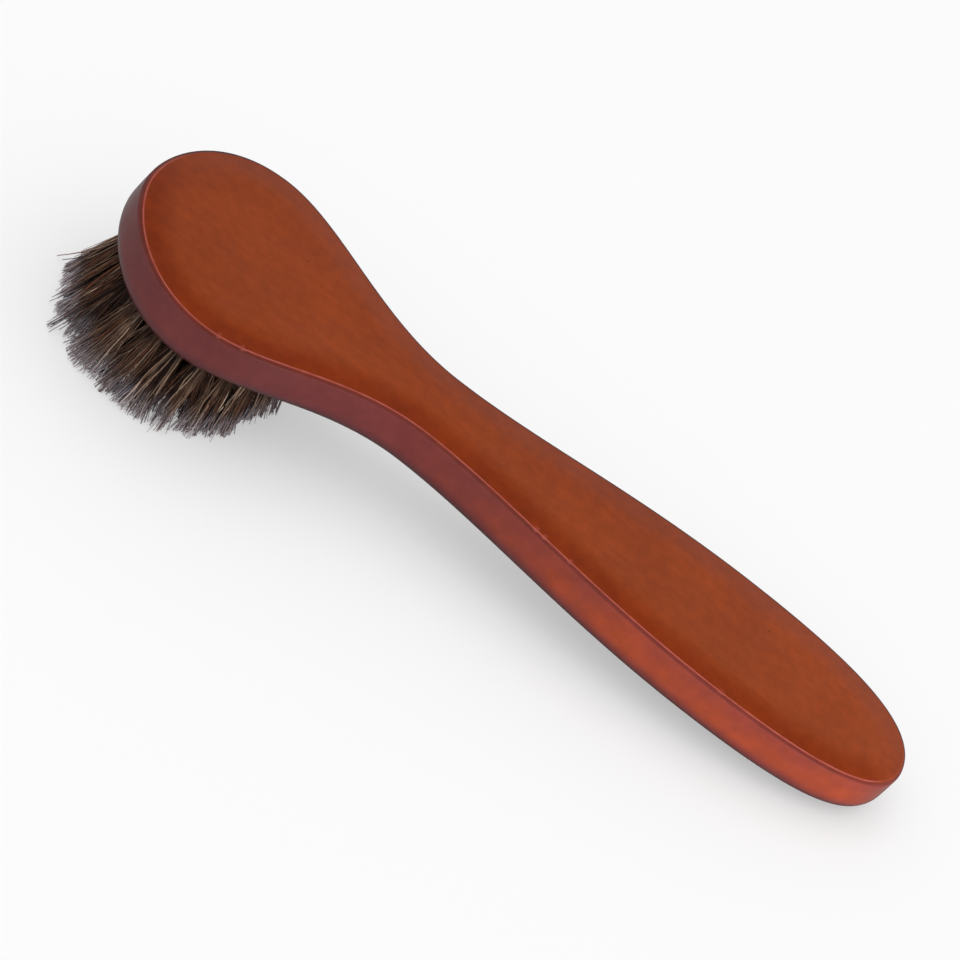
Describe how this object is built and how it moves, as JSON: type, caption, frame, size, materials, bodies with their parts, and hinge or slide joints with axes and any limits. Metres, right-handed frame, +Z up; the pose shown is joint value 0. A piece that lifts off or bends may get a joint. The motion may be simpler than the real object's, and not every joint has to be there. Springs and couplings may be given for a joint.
{
  "type": "horsehair hand brush",
  "caption": "Hand brush with a waisted lacquered wood head-and-handle block, flat back, and a short round pad of horsehair tufts for dusting off hair clippings.",
  "frame": {"origin": "on the surface that the brush lies on, under the middle of the whole brush", "axes": "+X from the bristle head to the end of the handle, +Y across the brush, +Z up; the flat back leans 6.46 degrees because the bristles and the heel of the handle both touch z = 0"},
  "size_m": [0.1808, 0.0488, 0.031],
  "materials": {
    "lacquered_wood": "reddish-brown stain under satin-gloss lacquer",
    "horsehair": "mixed dark brown, grey-brown and tan horsehair, dull",
    "anchor_wire": "bright flat wire"
  },
  "bodies": {
    "root": {"tuft_anchors": "anchor_wire", "tuft_centre": "horsehair", "tuft_inner_01": "horsehair", "tuft_inner_02": "horsehair", "tuft_inner_03": "horsehair", "tuft_inner_04": "horsehair", "tuft_inner_05": "horsehair", "tuft_inner_06": "horsehair", "tuft_middle_01": "horsehair", "tuft_middle_02": "horsehair", "tuft_middle_03": "horsehair", "tuft_middle_04": "horsehair", "tuft_middle_05": "horsehair", "tuft_middle_06": "horsehair", "tuft_middle_07": "horsehair", "tuft_middle_08": "horsehair", "tuft_middle_09": "horsehair", "tuft_middle_10": "horsehair", "tuft_middle_11": "horsehair", "tuft_middle_12": "horsehair", "tuft_middle_13": "horsehair", "tuft_outer_01": "horsehair", "tuft_outer_02": "horsehair", "tuft_outer_03": "horsehair", "tuft_outer_04": "horsehair", "tuft_outer_05": "horsehair", "tuft_outer_06": "horsehair", "tuft_outer_07": "horsehair", "tuft_outer_08": "horsehair", "tuft_outer_09": "horsehair", "tuft_outer_10": "horsehair", "tuft_outer_11": "horsehair", "tuft_outer_12": "horsehair", "tuft_outer_13": "horsehair", "tuft_outer_14": "horsehair", "tuft_outer_15": "horsehair", "tuft_outer_16": "horsehair", "tuft_outer_17": "horsehair", "tuft_outer_18": "horsehair", "tuft_outer_19": "horsehair", "tuft_outer_20": "horsehair", "wood_block": "lacquered_wood"}
  },
  "joints": []
}
